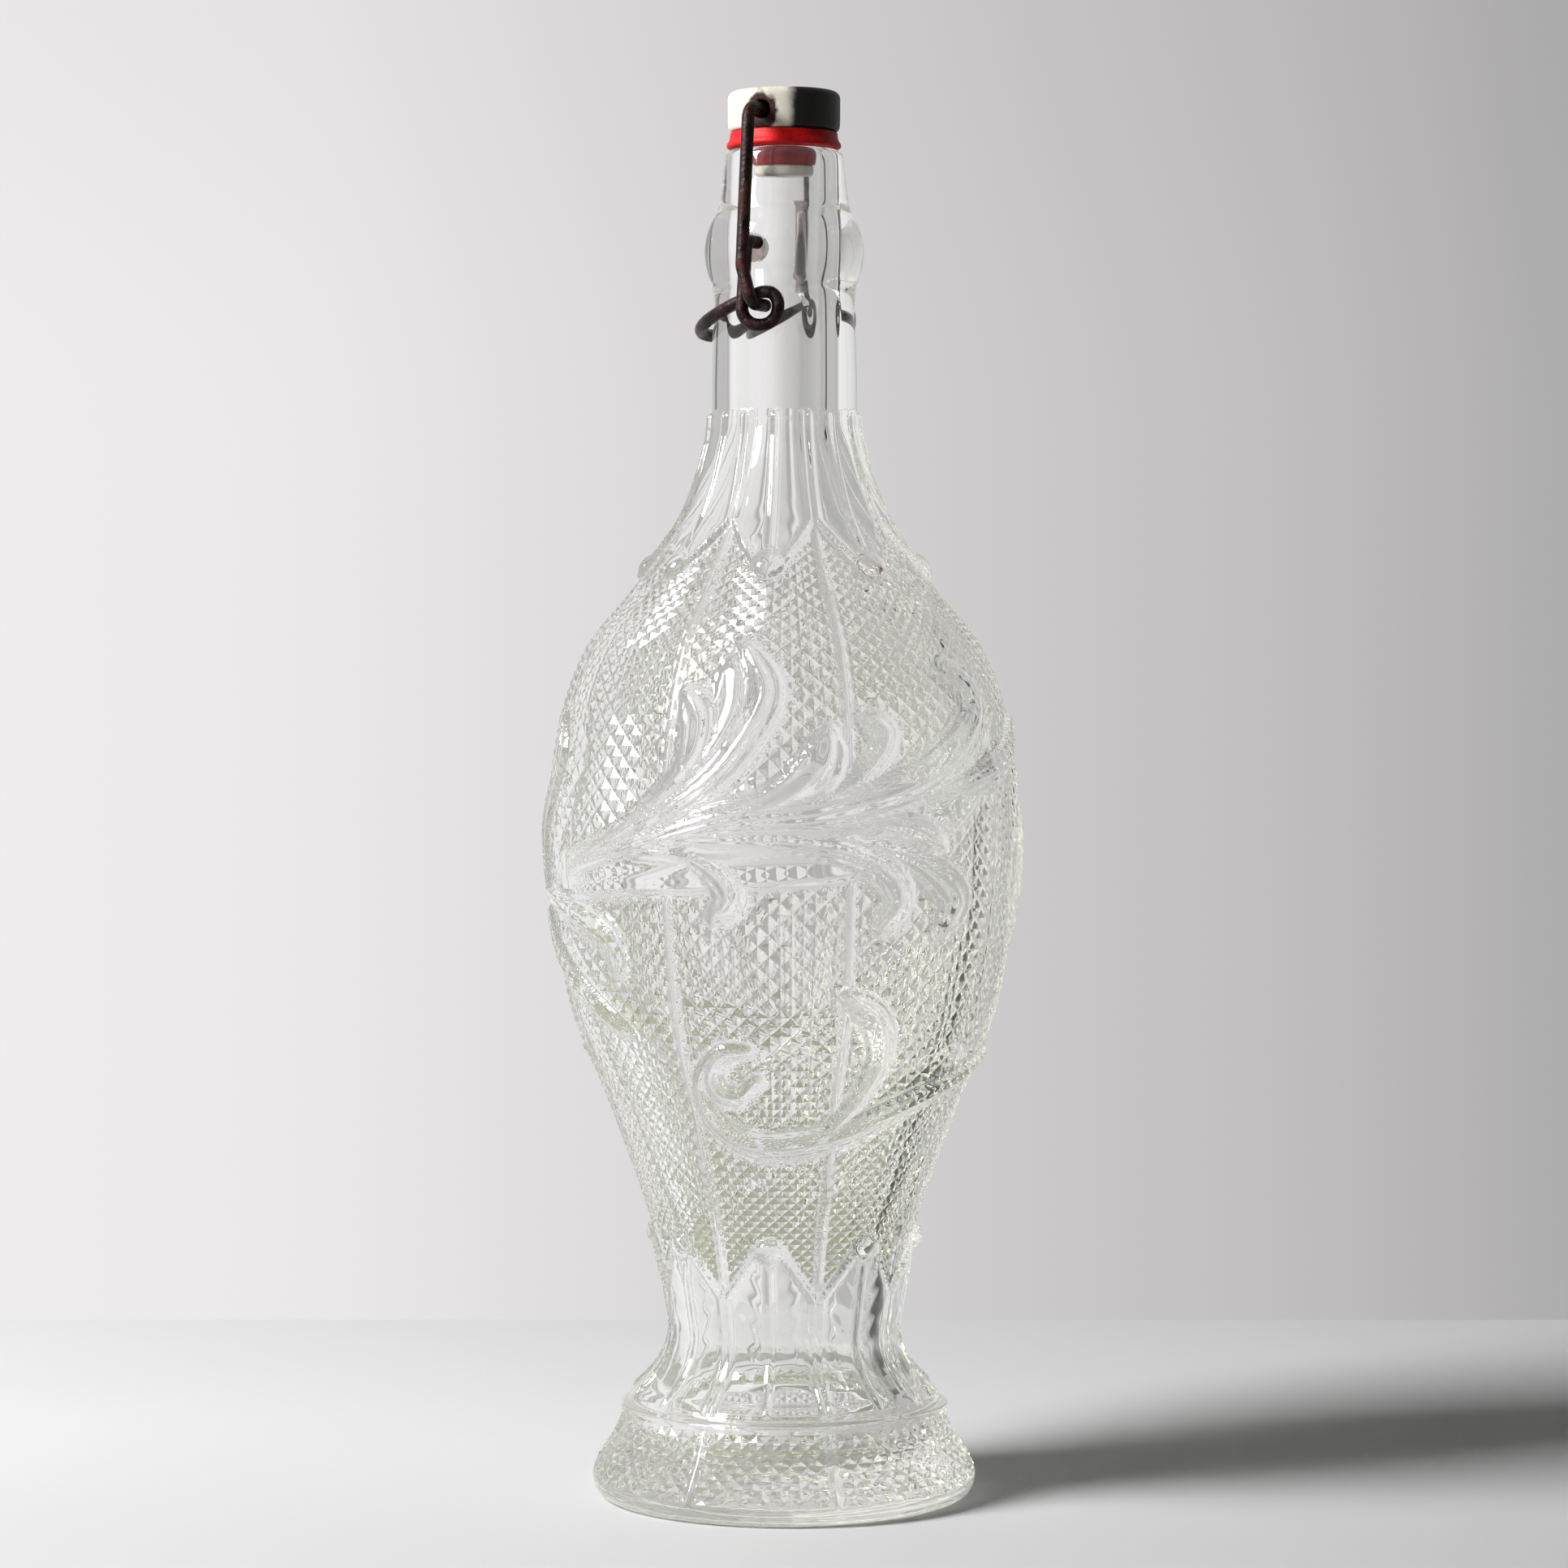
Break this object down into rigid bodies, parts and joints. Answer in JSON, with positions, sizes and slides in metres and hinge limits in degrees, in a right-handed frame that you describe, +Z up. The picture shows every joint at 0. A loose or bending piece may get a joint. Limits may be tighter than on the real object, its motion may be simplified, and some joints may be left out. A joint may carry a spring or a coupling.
{
  "type": "swing top bottle",
  "caption": "Footed glass bottle with moulded leaves and scrolls, closed by a porcelain stopper and rubber gasket on a hinged wire bail and thumb lever.",
  "frame": {"origin": "centre of the base, on the surface that the bottle stands on", "axes": "+Z up along the bottle's axis; the closure's wires turn about axes along Y; the thumb loop is at -X"},
  "size_m": [0.1062, 0.1072, 0.31],
  "materials": {
    "glass": "clear pressed glass, faintly green-grey",
    "porcelain": "cream glazed porcelain, opaque",
    "red_rubber": "soft red rubber",
    "rusty_wire": "round steel wire, brown with rust"
  },
  "bodies": {
    "bottle": {"bottle": "glass"},
    "lever": {"lever": "rusty_wire"},
    "bail": {"bail": "rusty_wire"},
    "stopper": {"stopper": "porcelain", "gasket": "red_rubber"}
  },
  "joints": [
    {"name": "lever_pivot", "type": "hinge", "parent": "bottle", "child": "lever", "pos_m": [0, 0, 0.2757], "axis": [0, 1, 0], "range_deg": [0, 95]},
    {"name": "bail_pivot", "type": "hinge", "parent": "lever", "child": "bail", "pos_m": [0.0036, 0, 0.2617], "axis": [0, 1, 0], "range_deg": [-67, 0]},
    {"name": "stopper_pivot", "type": "hinge", "parent": "bail", "child": "stopper", "pos_m": [0, 0, 0.30487], "axis": [0, 1, 0], "range_deg": [-29, 0]}
  ],
  "couplings": [
    {"joint": "bail_pivot", "follows": "lever_pivot", "ratio": -0.7},
    {"joint": "stopper_pivot", "follows": "lever_pivot", "ratio": -0.3}
  ]
}
